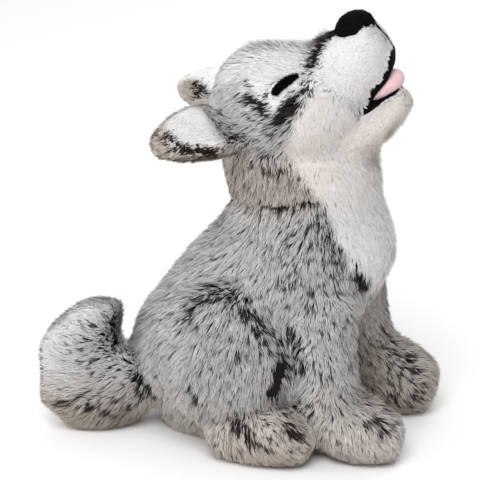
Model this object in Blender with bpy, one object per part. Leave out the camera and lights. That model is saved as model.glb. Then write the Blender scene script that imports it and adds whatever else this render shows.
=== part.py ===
"""Plush wolf that sits upright and howls, its head thrown back and its mouth open.

The figure faces +X, its right side is -Y, and its soles lie on Z = 0. The outer faces are the
outside of the pile. Each solid is a sewn cover with its filling, or a flat felt piece.
"""
import math

import bmesh
import bpy
from mathutils import Matrix, Vector

# Gap left at each seam, and how far cutters reach past what they cut
SEAM = 0.0003
REACH = 0.08
# Limit on how much a sharp corner moves when a cutter is grown
MAX_CORNER = 2.0
SHARP_ANGLE = 38.0
# Rings between two stations, sides of a ring, and the angles of the rings of a domed end
SPAN_STEPS = 2
FINE_STEPS = 8
SIDES_BODY = 28
SIDES_HEAD = 30
SIDES_TAIL = 20
SIDES_LIMB = 16
SIDES_SMALL = 12
SIDES_EYE = 8
DOME_ANGLES = (30.0, 58.0)

# Trunk in level slices: height, centre forward, half depth, half width
TRUNK = [
    (0.014, -0.008, 0.050, 0.040),
    (0.045, -0.002, 0.071, 0.056),
    (0.075, 0.003, 0.073, 0.060),
    (0.100, 0.019, 0.072, 0.056),
    (0.127, 0.036, 0.069, 0.052),
    (0.150, 0.045, 0.057, 0.049),
    (0.168, 0.045, 0.050, 0.047),
    (0.190, 0.041, 0.052, 0.048),
    (0.206, 0.036, 0.050, 0.047),
]
SEAT_DOME = 0.022
NECK_DOME = 0.015
COLLAR_POINT = (0.042, 0.0, 0.176)
COLLAR_TILT = 10.0
BIB_TOP = (0.060, 0.0, 0.184)
BIB_TIP = (0.097, 0.0, 0.113)

# Head, in its own frame of forward, side and up
HEAD_CENTRE = (0.025, 0.0, 0.2295)
HEAD_PITCH = 48.0
HEAD_TURN = 4.0
# Forward, centre up, half height, half width
HEAD = [
    (-0.028, -0.003, 0.036, 0.037),
    (-0.008, -0.004, 0.047, 0.047),
    (0.014, -0.006, 0.046, 0.049),
    (0.030, -0.011, 0.037, 0.044),
    (0.043, -0.015, 0.028, 0.034),
    (0.056, -0.017, 0.025, 0.027),
    (0.068, -0.017, 0.023, 0.023),
    (0.077, -0.014, 0.018, 0.018),
]
HEAD_BACK_DOME = 0.018
HEAD_FRONT_DOME = 0.008
# White part of the face, side view: forward, up
FACE_OUTLINE = [
    (0.110, 0.030), (0.052, 0.030), (0.045, 0.004), (0.031, -0.002), (0.008, -0.015),
    (-0.004, -0.026), (-0.012, -0.040), (-0.015, -0.080), (0.110, -0.080),
]
MUZZLE_START = 0.041
# Strip down the bridge of the nose: from and to forward, half widths there, and its depth
BRIDGE_START = 0.036
BRIDGE_END = 0.075
BRIDGE_BROW = 0.014
BRIDGE_NOSE = 0.007
BRIDGE_DEPTH = 0.006
BRIDGE_MIDDLE = 0.060
PATCH_OUTLINE = [
    (0.009, 0.034), (0.024, 0.029), (0.037, 0.017), (0.046, 0.006),
    (0.036, -0.001), (0.022, 0.000), (0.010, 0.002), (0.005, 0.014), (0.004, 0.026),
]
PATCH_INNER = 0.012
# Closed eye along the side of the head: forward, up, half thickness
EYE_PATH = [
    (0.0172, 0.0112, 0.0021), (0.0215, 0.0124, 0.0030), (0.0265, 0.0112, 0.0028),
    (0.0312, 0.0080, 0.0014),
]
EYE_END = 0.001
NOSE_CENTRE = (0.0732, 0.0, -0.0014)
NOSE_SIZE = (0.0135, 0.0140, 0.0105)
NOSE_TILT = 22.0
LINE_WIDTH = 0.0024
LINE_TOP = -0.006
LINE_START = 0.078

# Mouth, side view in the head frame: forward, up
MOUTH_CORNER = (0.040, -0.0432)
UPPER_LIP = [(0.052, -0.0368), (0.063, -0.0364), (0.073, -0.0332), (0.0795, -0.0275)]
LOWER_LIP = [(0.053, -0.0465), (0.072, -0.0535)]
LIP_THICK = 0.0028
LIP_PROUD = 0.0008
# Forward, centre up, half height, half width
JAW = [
    (0.018, -0.046, 0.022, 0.031),
    (0.034, -0.051, 0.016, 0.027),
    (0.048, -0.0540, 0.0115, 0.0225),
    (0.0575, -0.0555, 0.0080, 0.0175),
]
JAW_ROOT_DOME = 0.010
JAW_DOME = 0.0075
TONGUE = [
    (0.047, -0.0405, 0.0016, 0.0110),
    (0.0555, -0.0420, 0.0046, 0.0135),
    (0.0635, -0.0430, 0.0062, 0.0120),
]
TONGUE_ROOT_DOME = 0.004
TONGUE_DOME = 0.008

# Each ear in the head frame: root, tip, and the way that its open face looks
EAR_RIGHT = ((-0.027, -0.031, 0.013), (-0.056, -0.071, 0.044), (0.85, -0.30, 0.25))
EAR_LEFT = ((-0.028, 0.029, 0.015), (-0.053, 0.068, 0.048), (0.55, -0.24, 0.80))
# Share of the length, half width, half thickness
EAR = [
    (0.00, 0.0190, 0.0090), (0.35, 0.0225, 0.0085), (0.70, 0.0180, 0.0070), (0.90, 0.0110, 0.0050),
]
EAR_DOME = 0.006
EAR_CUP = 0.35
LINING_START = 0.28
LINING_END = 0.80
LINING_ROWS = 4
LINING_THICK = 0.0025
LINING_WIDTH = 0.78
LINING_DOME = 0.004

# Limbs: forward, side, up, half width, half height across the limb
FRONT_LEG = [
    (0.056, -0.026, 0.126, 0.018, 0.022),
    (0.060, -0.033, 0.100, 0.021, 0.025),
    (0.062, -0.037, 0.070, 0.021, 0.024),
    (0.065, -0.038, 0.045, 0.021, 0.024),
    (0.075, -0.039, 0.027, 0.023, 0.025),
    (0.093, -0.040, 0.020, 0.024, 0.023),
    (0.106, -0.040, 0.017, 0.021, 0.018),
]
LEG_DOME_TOP = 0.012
LEG_DOME_TOE = 0.013
LEFT_STEP = 0.0115
LEFT_SPREAD = 0.009
LEFT_SWELL = 1.14
HAUNCH_CENTRE = (0.000, -0.048, 0.068)
HAUNCH_SIZE = (0.047, 0.030, 0.054)
HAUNCH_TILT = -20.0
HIND_FOOT = [
    (0.002, -0.056, 0.020, 0.018, 0.021),
    (0.018, -0.057, 0.021, 0.021, 0.023),
    (0.036, -0.058, 0.020, 0.022, 0.022),
    (0.049, -0.058, 0.016, 0.019, 0.017),
]
FOOT_DOME = 0.013
# Tail in level slices: height, centre forward and side, half depth, its swing aside, half width
TAIL = [
    (0.009, -0.090, -0.020, 0.029, 0.008, 0.020),
    (0.021, -0.087, -0.020, 0.042, 0.015, 0.025),
    (0.035, -0.087, -0.021, 0.0425, 0.015, 0.026),
    (0.048, -0.095, -0.025, 0.0345, 0.010, 0.026),
    (0.062, -0.102, -0.029, 0.027, 0.004, 0.025),
    (0.076, -0.098, -0.031, 0.023, 0.002, 0.023),
    (0.086, -0.092, -0.031, 0.018, 0.001, 0.019),
]
TAIL_ROOT_DOME = 0.011
TAIL_TIP_DOME = 0.010

# Colours as they look: red, green, blue
GREY_PILE = (0.66, 0.64, 0.62)
COOL_WHITE = (0.88, 0.89, 0.90)
WARM_WHITE = (0.84, 0.83, 0.82)
BLACK_FELT = (0.07, 0.065, 0.065)
PINK_FELT = (0.86, 0.70, 0.74)


def clear_objects():
    for item in list(bpy.data.objects):
        bpy.data.objects.remove(item, do_unlink=True)


def fabric(name, colour, roughness):
    """Material of one cloth; the colour is turned from display to linear values."""
    material = bpy.data.materials.new(name)
    material.use_nodes = True
    shader = material.node_tree.nodes["Principled BSDF"]
    linear = [((c + 0.055) / 1.055) ** 2.4 for c in colour]
    shader.inputs["Base Color"].default_value = (*linear, 1.0)
    shader.inputs["Roughness"].default_value = roughness
    shader.inputs["Metallic"].default_value = 0.0
    return material


def between(rows, steps):
    """Rows with smooth rows between them, as many steps in each span."""
    path = []
    last = len(rows) - 1
    for i in range(last):
        before, here = rows[max(i - 1, 0)], rows[i]
        there, after = rows[i + 1], rows[min(i + 2, last)]
        for k in range(steps):
            t = k / steps
            path.append(tuple(
                0.5 * (2 * b + (c - a) * t + (2 * a - 5 * b + 4 * c - d) * t ** 2
                       + (3 * b - a - 3 * c + d) * t ** 3)
                for a, b, c, d in zip(before, here, there, after)))
    path.append(tuple(rows[-1]))
    return path


def dome(ring, away, length):
    """Rings that round off an end of a tube, and its pole."""
    centre, side, up = ring
    rings = []
    for angle in DOME_ANGLES:
        turn = math.radians(angle)
        rings.append((centre + away * length * math.sin(turn),
                      side * math.cos(turn), up * math.cos(turn)))
    return rings, centre + away * length


def tube(name, rings, segments, start_dome, end_dome):
    """Closed body through the rings: centre, half side and half up vectors."""
    start = (rings[0][0] - rings[1][0]).normalized()
    end = (rings[-1][0] - rings[-2][0]).normalized()
    first, first_pole = dome(rings[0], start, start_dome)
    final, final_pole = dome(rings[-1], end, end_dome)
    rings = first[::-1] + rings + final
    points = [first_pole]
    for centre, side, up in rings:
        for k in range(segments):
            turn = 2 * math.pi * k / segments
            points.append(centre + side * math.cos(turn) + up * math.sin(turn))
    points.append(final_pole)
    faces = []
    for k in range(segments):
        following = (k + 1) % segments
        faces.append((0, 1 + following, 1 + k))
        for r in range(len(rings) - 1):
            low = 1 + r * segments
            high = low + segments
            faces.append((low + k, low + following, high + following, high + k))
        top = 1 + (len(rings) - 1) * segments
        faces.append((top + k, top + following, len(points) - 1))
    return solid(name, points, faces)


def solid(name, points, faces):
    mesh = bpy.data.meshes.new(name)
    mesh.from_pydata([tuple(p) for p in points], [], faces)
    item = bpy.data.objects.new(name, mesh)
    bpy.context.scene.collection.objects.link(item)
    face_outward(item)
    return item


def face_outward(item):
    work = bmesh.new()
    work.from_mesh(item.data)
    bmesh.ops.recalc_face_normals(work, faces=work.faces)
    work.to_mesh(item.data)
    work.free()


def level_rings(rows):
    """Rings of a stack along Z: height, centre, half depth, half width."""
    return [(Vector((x, 0, z)), Vector((0, width, 0)), Vector((depth, 0, 0)))
            for z, x, depth, width in between(rows, SPAN_STEPS)]


def plume_rings(rows):
    """Rings of a stack whose slices swing aside: height, centre, half depth, swing, half width."""
    return [(Vector((x, y, z)), Vector((0, width, 0)), Vector((depth, swing, 0)))
            for z, x, y, depth, swing, width in between(rows, SPAN_STEPS)]


def snout_rings(rows):
    """Rings of a stack along X: forward, centre up, half height, half width."""
    return [(Vector((x, 0, z)), Vector((0, width, 0)), Vector((0, 0, height)))
            for x, z, height, width in between(rows, SPAN_STEPS)]


def limb_rings(rows):
    """Rings square to a path: point, half width across, half height."""
    path = between(rows, SPAN_STEPS)
    rings = []
    for i, row in enumerate(path):
        ahead, behind = path[min(i + 1, len(path) - 1)], path[max(i - 1, 0)]
        along = (Vector(ahead[:3]) - Vector(behind[:3])).normalized()
        side = Vector((0, 1, 0))
        side = (side - along * side.dot(along)).normalized()
        rings.append((Vector(row[:3]), side * row[3], along.cross(side) * row[4]))
    return rings


def prism(name, outline, low, high, side_view=True):
    """Straight body over an outline: in side view along Y, else in top view along Z."""
    points = []
    for level in (low, high):
        for a, b in outline:
            points.append((a, level, b) if side_view else (a, b, level))
    count = len(outline)
    faces = [tuple(range(count)), tuple(range(2 * count - 1, count - 1, -1))]
    for k in range(count):
        following = (k + 1) % count
        faces.append((k, count + k, count + following, following))
    return solid(name, points, faces)


def copy_of(item, name):
    twin = bpy.data.objects.new(name, item.data.copy())
    bpy.context.scene.collection.objects.link(twin)
    return twin


def grown(item, amount):
    """Copy of a body with each face moved out by the amount."""
    twin = copy_of(item, item.name + "_grown")
    work = bmesh.new()
    work.from_mesh(twin.data)
    work.normal_update()
    moves = [(v, v.normal * amount * min(v.calc_shell_factor(), MAX_CORNER)) for v in work.verts]
    for vertex, move in moves:
        vertex.co += move
    work.to_mesh(twin.data)
    work.free()
    return twin


def combine(item, other, operation):
    """Boolean of two bodies, written into the first one."""
    modifier = item.modifiers.new(operation, "BOOLEAN")
    modifier.operation = operation
    modifier.solver = "EXACT"
    modifier.use_self = True
    modifier.object = other
    bpy.context.view_layer.update()
    evaluated = item.evaluated_get(bpy.context.evaluated_depsgraph_get())
    mesh = bpy.data.meshes.new_from_object(evaluated)
    item.modifiers.clear()
    item.data = mesh


def drop(*items):
    for item in items:
        bpy.data.objects.remove(item, do_unlink=True)


def seat(item, *neighbours):
    """Take the neighbours, with the seam gap round them, out of a body."""
    for neighbour in neighbours:
        cutter = grown(neighbour, SEAM)
        combine(item, cutter, "DIFFERENCE")
        drop(cutter)


def inlay(host, cutter, name):
    """Part of the host inside the cutter, as a piece with a seam round it."""
    piece = copy_of(host, name)
    combine(piece, cutter, "INTERSECT")
    wider = grown(cutter, SEAM)
    combine(host, wider, "DIFFERENCE")
    drop(wider, cutter)
    return piece


def keep_below(item, point, normal):
    """Cut a body off flat, and keep the part on the far side of the normal."""
    work = bmesh.new()
    work.from_mesh(item.data)
    everything = work.verts[:] + work.edges[:] + work.faces[:]
    bmesh.ops.bisect_plane(work, geom=everything, plane_co=point, plane_no=normal,
                           clear_outer=True)
    rim = [edge for edge in work.edges if edge.is_boundary]
    bmesh.ops.edgeloop_fill(work, edges=rim)
    bmesh.ops.recalc_face_normals(work, faces=work.faces)
    work.to_mesh(item.data)
    work.free()


def split(item, name, point, normal):
    """Cut a body in two at a plane, with a seam; the new piece lies towards the normal."""
    piece = copy_of(item, name)
    point, normal = Vector(point), Vector(normal).normalized()
    keep_below(piece, point + normal * SEAM / 2, -normal)
    keep_below(item, point - normal * SEAM / 2, normal)
    return piece


def place(item, matrix):
    item.data.transform(matrix)
    face_outward(item)


def mirrored(item, name):
    twin = copy_of(item, name)
    place(twin, Matrix.Scale(-1, 4, (0, 1, 0)))
    return twin


def sole(item):
    keep_below(item, (0, 0, 0), (0, 0, -1))


def ball(name, centre, size, tilt, segments, rings):
    """Ellipsoid with half sizes along X, Y and Z, tilted about Y."""
    mesh = bpy.data.meshes.new(name)
    work = bmesh.new()
    bmesh.ops.create_uvsphere(work, u_segments=segments, v_segments=rings, radius=1.0)
    work.to_mesh(mesh)
    work.free()
    item = bpy.data.objects.new(name, mesh)
    bpy.context.scene.collection.objects.link(item)
    turn = Matrix.Rotation(math.radians(tilt), 4, "Y")
    place(item, Matrix.Translation(centre) @ turn @ Matrix.Diagonal((*size, 1.0)))
    return item


def head_half_width(forward, up):
    """Distance of the head's skin from its middle plane at a point of the side view."""
    rows = between(HEAD, FINE_STEPS)
    for low, high in zip(rows, rows[1:]):
        if low[0] <= forward <= high[0]:
            t = (forward - low[0]) / (high[0] - low[0])
            centre, height, width = (a + (b - a) * t for a, b in zip(low[1:], high[1:]))
            return width * math.sqrt(max(0.0, 1 - ((up - centre) / height) ** 2))
    raise ValueError("point outside the head")


def build_trunk():
    """Torso, neck, throat and chest panel out of one stack."""
    torso = tube("torso", level_rings(TRUNK), SIDES_BODY, SEAT_DOME, NECK_DOME)
    sole(torso)
    tilt = math.radians(COLLAR_TILT)
    neck = split(torso, "neck", COLLAR_POINT, (-math.sin(tilt), 0, math.cos(tilt)))
    rise = Vector(BIB_TOP) - Vector(BIB_TIP)
    forward = Vector((rise.z, 0, -rise.x))
    bib = split(torso, "chest_bib", BIB_TOP, forward)
    throat = split(neck, "throat", BIB_TOP, forward)
    return torso, neck, bib, throat


def build_face(head):
    """White face, muzzle and the dark inlays, cut out of the head."""
    face = inlay(head, prism("face_region", FACE_OUTLINE, -REACH, REACH), "cheek_ruff")
    muzzle = split(face, "muzzle", (MUZZLE_START, 0, 0), (1, 0, 0))
    bridge_outline = [(BRIDGE_START, BRIDGE_BROW), (BRIDGE_START, -BRIDGE_BROW),
                      (BRIDGE_END, -BRIDGE_NOSE), (BRIDGE_END, BRIDGE_NOSE)]
    bridge_low = head_top(BRIDGE_MIDDLE) - BRIDGE_DEPTH
    bridge = inlay(muzzle, prism("bridge_region", bridge_outline, bridge_low, REACH, False),
                   "nose_bridge")
    return face, muzzle, bridge


def head_top(forward):
    """Height of the head's top at a distance forward."""
    rows = between(HEAD, FINE_STEPS)
    row = min(rows, key=lambda r: abs(r[0] - forward))
    return row[1] + row[2]


def build_nose(muzzle, bridge):
    nose = ball("nose", NOSE_CENTRE, NOSE_SIZE, NOSE_TILT, SIDES_LIMB, SIDES_EYE)
    seat(muzzle, nose)
    seat(bridge, nose)
    front = HEAD[-1][0] + REACH
    bottom = UPPER_LIP[-1][1] + 2 * SEAM
    outline = [(front, LINE_TOP), (front, bottom), (LINE_START, bottom), (LINE_START, LINE_TOP)]
    line = inlay(muzzle, prism("line_region", outline, -LINE_WIDTH / 2, LINE_WIDTH / 2),
                 "philtrum")
    return nose, line


def build_mouth(muzzle, head_shape):
    """Lower jaw, the felt lining folded at the mouth corner, and the tongue."""
    jaw = tube("lower_jaw", snout_rings(JAW), SIDES_LIMB, JAW_ROOT_DOME, JAW_DOME)
    jaw_shape = copy_of(jaw, "jaw_shape")
    upper = [MOUTH_CORNER] + UPPER_LIP
    lower = [MOUTH_CORNER] + LOWER_LIP
    cut_low = upper + [(upper[-1][0], -REACH), (MOUTH_CORNER[0], -REACH)]
    region = prism("below_lip", cut_low, -REACH, REACH)
    combine(muzzle, region, "DIFFERENCE")
    drop(region)
    cut_high = lower + [(REACH, 0.0), (MOUTH_CORNER[0], 0.0)]
    region = prism("above_lip", cut_high, -REACH, REACH)
    combine(jaw, region, "DIFFERENCE")
    drop(region)
    lining = lip_sheet("mouth_lining", upper, -LIP_THICK, grown(head_shape, LIP_PROUD))
    lower_sheet = lip_sheet("lower_sheet", lower, LIP_THICK, grown(jaw_shape, LIP_PROUD))
    combine(lining, lower_sheet, "UNION")
    drop(lower_sheet)
    tongue = tube("tongue", snout_rings(TONGUE), SIDES_SMALL, TONGUE_ROOT_DOME, TONGUE_DOME)
    space = prism("mouth_space", mouth_outline(upper, lower), -REACH, REACH)
    combine(tongue, space, "INTERSECT")
    drop(space)
    seat(muzzle, lining)
    seat(jaw, lining)
    return jaw, lining, tongue, jaw_shape


def mouth_outline(upper, lower):
    """Side view of the open mouth, a seam away from the felt of both lips."""
    inset = LIP_THICK + SEAM
    rise = (upper[1][1] - upper[0][1]) / (upper[1][0] - upper[0][0])
    fall = (lower[1][1] - lower[0][1]) / (lower[1][0] - lower[0][0])
    reach = 2 * inset / (rise - fall)
    root = (upper[0][0] + reach, upper[0][1] + rise * reach - inset)
    roof = [(x, z - inset) for x, z in upper[1:]]
    floor = [(x, z + inset) for x, z in lower[1:]]
    return [root, *roof, (REACH, roof[-1][1]), (REACH, floor[-1][1]), *floor[::-1]]


def lip_sheet(name, path, thick, limit):
    """Felt strip along a lip, as wide as the snout there."""
    outline = list(path) + [(x, z + thick) for x, z in reversed(path)]
    sheet = prism(name, outline, -REACH, REACH)
    combine(sheet, limit, "INTERSECT")
    drop(limit)
    return sheet


def build_eye(patch, name):
    rows = []
    for forward, up, thick in EYE_PATH:
        rows.append((forward, -head_half_width(forward, up), up, thick, thick))
    eye = tube(name, limb_rings(rows), SIDES_EYE, EYE_END, EYE_END)
    seat(eye, patch)
    return eye


def ear_rings(spot, rows, widen, lift):
    """Rings of a leaf along the ear: share of its length, half width, half thickness."""
    root, along, face, across = ear_frame(spot)
    rings = []
    for share, width, thick in rows:
        centre = root + along * share + face * (thick if lift else 0.0)
        depth = LINING_THICK if lift else thick
        rings.append((centre, across * width * widen, face * depth))
    return rings


def ear_frame(spot):
    """Root, whole length, facing direction and direction across the ear."""
    root, tip, face = (Vector(value) for value in spot)
    along = tip - root
    straight = along.normalized()
    face = (face - straight * face.dot(straight)).normalized()
    return root, along, face, straight.cross(face)


def cup(item, spot):
    """Bend the rims of a leaf forward."""
    root, along, face, across = ear_frame(spot)
    for vertex in item.data.vertices:
        reach = (vertex.co - root).dot(across)
        vertex.co += face * EAR_CUP * reach ** 2 / EAR[1][1]


def row_at(rows, share):
    """Row of a table at a share of the length, straight between its neighbours."""
    for low, high in zip(rows, rows[1:]):
        if share <= high[0]:
            part = (share - low[0]) / (high[0] - low[0])
            return tuple(a + (b - a) * part for a, b in zip(low, high))
    return rows[-1]


def build_ear(skull, side, spot):
    leaf = between(EAR, SPAN_STEPS)
    ear = tube("ear_" + side, ear_rings(spot, leaf, 1.0, False), SIDES_LIMB, EAR_DOME, EAR_DOME)
    step = (LINING_END - LINING_START) / (LINING_ROWS - 1)
    inner = [row_at(leaf, LINING_START + step * k) for k in range(LINING_ROWS)]
    inner_rings = ear_rings(spot, inner, LINING_WIDTH, True)
    lining = tube("ear_lining_" + side, inner_rings, SIDES_SMALL, LINING_DOME, LINING_DOME)
    cup(ear, spot)
    cup(lining, spot)
    seat(lining, ear, skull)
    seat(ear, skull)
    return ear, lining


def build_head():
    """All pieces of the head, in the head's own frame."""
    skull = tube("skull", snout_rings(HEAD), SIDES_HEAD, HEAD_BACK_DOME, HEAD_FRONT_DOME)
    shape = copy_of(skull, "head_shape")
    face, muzzle, bridge = build_face(skull)
    nose, line = build_nose(muzzle, bridge)
    jaw, lining, tongue, jaw_shape = build_mouth(muzzle, shape)
    region = prism("patch_region", PATCH_OUTLINE, -REACH, -PATCH_INNER)
    patch = inlay(skull, region, "eye_patch_right")
    region = prism("patch_region", PATCH_OUTLINE, PATCH_INNER, REACH)
    far_patch = inlay(skull, region, "eye_patch_left")
    eye = build_eye(patch, "eye_right")
    pieces = [skull, face, muzzle, bridge, nose, line, jaw, lining, tongue, patch, far_patch,
              eye, mirrored(eye, "eye_left"), *build_ear(skull, "right", EAR_RIGHT),
              *build_ear(skull, "left", EAR_LEFT)]
    return shape, jaw_shape, {item.name: item for item in pieces}


def pose_head(items):
    turn = (Matrix.Rotation(math.radians(HEAD_TURN), 4, "Z")
            @ Matrix.Rotation(math.radians(-HEAD_PITCH), 4, "Y"))
    for item in items:
        place(item, Matrix.Translation(HEAD_CENTRE) @ turn)


def front_leg(name, side, step, spread, swell):
    """Straight leg with its paw; step and spread slide the paw forward and out."""
    high = FRONT_LEG[0][2]
    rows = []
    for x, y, z, width, height in FRONT_LEG:
        low = 1 - z / high
        rows.append((x + step * low, (y - spread * low) * side, z + height * (swell - 1),
                     width * swell, height * swell))
    return tube(name, limb_rings(rows), SIDES_LIMB, LEG_DOME_TOP, LEG_DOME_TOE)


def build_limbs(torso, bib):
    """Legs, haunches, hind feet and tail, each seated on what it is sewn to."""
    legs = [front_leg("front_leg_right", 1, 0.0, 0.0, 1.0),
            front_leg("front_leg_left", -1, LEFT_STEP, LEFT_SPREAD, LEFT_SWELL)]
    haunch = ball("haunch_right", HAUNCH_CENTRE, HAUNCH_SIZE, HAUNCH_TILT, SIDES_TAIL, SIDES_SMALL)
    foot = tube("hind_foot_right", limb_rings(HIND_FOOT), SIDES_LIMB, FOOT_DOME, FOOT_DOME)
    tail = tube("tail", plume_rings(TAIL), SIDES_TAIL, TAIL_ROOT_DOME, TAIL_TIP_DOME)
    for item in (*legs, haunch, foot, tail):
        sole(item)
    seat(haunch, torso)
    seat(foot, torso, haunch)
    pairs = [(haunch, foot), (mirrored(haunch, "haunch_left"), mirrored(foot, "hind_foot_left"))]
    for leg, (thigh, hind) in zip(legs, pairs):
        seat(leg, torso, bib, thigh)
        seat(hind, leg)
        seat(tail, thigh)
    seat(tail, torso)
    limbs = [*legs, *pairs[0], *pairs[1], tail]
    return {item.name: item for item in limbs}


def finish(item, material):
    item.data.materials.clear()
    item.data.materials.append(material)
    for face in item.data.polygons:
        face.use_smooth = True
    item.data.set_sharp_from_angle(angle=math.radians(SHARP_ANGLE))


def build():
    clear_objects()
    shape, jaw_shape, head = build_head()
    pose_head([shape, jaw_shape, *head.values()])
    torso, neck, bib, throat = build_trunk()
    seat(neck, shape)
    seat(throat, head["skull"])
    combine(head["cheek_ruff"], throat, "UNION")
    seat(head["cheek_ruff"], jaw_shape, head["mouth_lining"])
    drop(throat, shape, jaw_shape)
    limbs = build_limbs(torso, bib)
    grey = fabric("grey_frosted_pile", GREY_PILE, 0.95)
    cool = fabric("short_white_pile", COOL_WHITE, 0.95)
    warm = fabric("long_white_pile", WARM_WHITE, 0.95)
    black = fabric("black_velour", BLACK_FELT, 0.80)
    pink = fabric("pink_felt", PINK_FELT, 0.90)
    cloths = {"muzzle": cool, "lower_jaw": cool, "eye_patch_right": cool, "eye_patch_left": cool,
              "ear_lining_right": cool, "ear_lining_left": cool, "cheek_ruff": warm,
              "chest_bib": warm, "nose": black, "philtrum": black, "mouth_lining": black,
              "eye_right": black, "eye_left": black, "tongue": pink}
    for item in (torso, neck, bib, *head.values(), *limbs.values()):
        finish(item, cloths.get(item.name, grey))


build()
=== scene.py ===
"""Plush wolf that sits and howls: stuffed covers under long two-tone pile, with felt features.

The pile is real geometry. Every fibre grows from a cover that lies a little under the outside
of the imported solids, bends over along the nap, and ends just outside them.
"""

import math

import bpy
import numpy as np
from mathutils import Matrix, Vector, noise
from mathutils.bvhtree import BVHTree
from mathutils.kdtree import KDTree


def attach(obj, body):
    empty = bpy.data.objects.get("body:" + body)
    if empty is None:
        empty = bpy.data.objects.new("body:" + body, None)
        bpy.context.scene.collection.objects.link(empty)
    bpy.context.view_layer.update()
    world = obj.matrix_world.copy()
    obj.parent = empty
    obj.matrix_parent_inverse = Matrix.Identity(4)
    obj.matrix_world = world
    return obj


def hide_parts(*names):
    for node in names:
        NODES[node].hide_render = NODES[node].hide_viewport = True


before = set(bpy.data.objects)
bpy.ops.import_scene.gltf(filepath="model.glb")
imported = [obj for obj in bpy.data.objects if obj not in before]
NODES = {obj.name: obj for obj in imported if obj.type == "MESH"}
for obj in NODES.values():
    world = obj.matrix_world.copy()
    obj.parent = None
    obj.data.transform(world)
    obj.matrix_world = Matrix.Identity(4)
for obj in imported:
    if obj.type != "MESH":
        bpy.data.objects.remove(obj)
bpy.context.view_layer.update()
SEED = 11
FRAME_PX = 480
TINY = 1e-12
WELD_STEPS = 1e6

# Camera
CAM_AZIMUTH = math.radians(12.0)
CAM_ELEVATION = math.radians(20.0)
CAM_TARGET = Vector((0.0, 0.0, 0.1327))
CAM_DISTANCE = 1.8
PX_PER_M = 1500.0
SENSOR = 36.0

CAM_BACK = Vector((
    math.sin(CAM_AZIMUTH) * math.cos(CAM_ELEVATION),
    -math.cos(CAM_AZIMUTH) * math.cos(CAM_ELEVATION),
    math.sin(CAM_ELEVATION)))
CAM_RIGHT = Vector((math.cos(CAM_AZIMUTH), math.sin(CAM_AZIMUTH), 0.0))
CAM_UP = CAM_BACK.cross(CAM_RIGHT)


def build_camera():
    """Camera at the photograph's viewing angle."""
    data = bpy.data.cameras.new("camera")
    data.sensor_width = SENSOR
    data.lens = SENSOR * PX_PER_M * CAM_DISTANCE / FRAME_PX
    camera = bpy.data.objects.new("camera", data)
    turn = Matrix((CAM_RIGHT, CAM_UP, CAM_BACK)).transposed().to_4x4()
    camera.matrix_world = Matrix.Translation(CAM_TARGET + CAM_BACK * CAM_DISTANCE) @ turn
    bpy.context.scene.collection.objects.link(camera)
    bpy.context.scene.camera = camera


def sight(px, py):
    """Start and direction of the line of sight through a point of the photograph."""
    start = CAM_TARGET + CAM_BACK * CAM_DISTANCE
    across = (px - FRAME_PX / 2) / PX_PER_M
    above = (FRAME_PX / 2 - py) / PX_PER_M
    aim = CAM_TARGET + CAM_RIGHT * across + CAM_UP * above
    return start, (aim - start).normalized()


# Mesh helpers
def unit(rows):
    """Rows of vectors made one long."""
    return rows / np.maximum(np.linalg.norm(rows, axis=1, keepdims=True), TINY)


def held(values):
    """Values held between 0 and 1."""
    return np.clip(values, 0.0, 1.0)


def read(rows, key, wide, kind=float):
    """One value of all rows of a mesh, in so many columns."""
    out = np.empty(len(rows) * wide, dtype=kind)
    rows.foreach_get(key, out)
    return out.reshape(-1, wide)


def node_arrays(name):
    """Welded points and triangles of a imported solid, its felt parts refined by shaped()."""
    mesh = NODES[name].data
    mesh.calc_loop_triangles()
    points = read(mesh.vertices, "co", 3)
    tris = read(mesh.loop_triangles, "vertices", 3, np.int64)
    _, first, back = np.unique(np.round(points * WELD_STEPS).astype(np.int64), axis=0,
                               return_index=True, return_inverse=True)
    tris = back.reshape(-1)[tris]
    keep = (tris[:, 0] != tris[:, 1]) & (tris[:, 1] != tris[:, 2]) & (tris[:, 2] != tris[:, 0])
    return shaped(name, points[first], tris[keep]), tris[keep]


# How far the nose swells over the snout, and the closed eyes are drawn out and straightened
NOSE_SWELL = 0.0042
EYE_LONGER = 0.0026
EYE_STRAIGHTER = 0.0017
EYE_THICKER = 0.0001
# Middle and ends of an eye, in its half length
EYE_MIDDLE = 0.3
EYE_ENDS = 0.7
# How much fuller the tongue and the lips are
FULLER = {"tongue": 0.001, "mouth_lining": 0.0006}
# Way that the tipped head points
HEAD_AHEAD = np.array((0.67, 0.0, 0.74))


def shaped(name, points, faces):
    """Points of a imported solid: fuller tongue and lips, a nose swollen low on its sides, longer
    and straighter eyes, and the other solids as they are."""
    if name in FULLER:
        return points + point_normals(points, faces) * FULLER[name]
    if name == "nose":
        normals = point_normals(points, faces)
        facing = np.column_stack([normals[:, 0], -np.abs(normals[:, 1]), normals[:, 2]])
        low = held(-(facing @ np.array(CAM_UP)))
        return points + normals * (low * NOSE_SWELL)[:, None]
    if not name.startswith("eye_") or name.startswith("eye_patch"):
        return points
    normals = point_normals(points, faces)
    middle = points.mean(axis=0)
    axes = np.linalg.eigh(np.cov((points - middle).T))[1]
    along, across = axes[:, 2], axes[:, 1]
    along = along * np.sign(along @ HEAD_AHEAD)
    place = (points - middle) @ along
    place = place / np.abs(place).max()
    height = (points - middle) @ across
    arch = height[np.abs(place) < EYE_MIDDLE].mean() - height[np.abs(place) > EYE_ENDS].mean()
    across = across * np.sign(arch)
    return (points + normals * EYE_THICKER + np.outer((place + 1) / 2, along) * EYE_LONGER
            - np.outer(1 - place ** 2, across) * EYE_STRAIGHTER)


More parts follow.
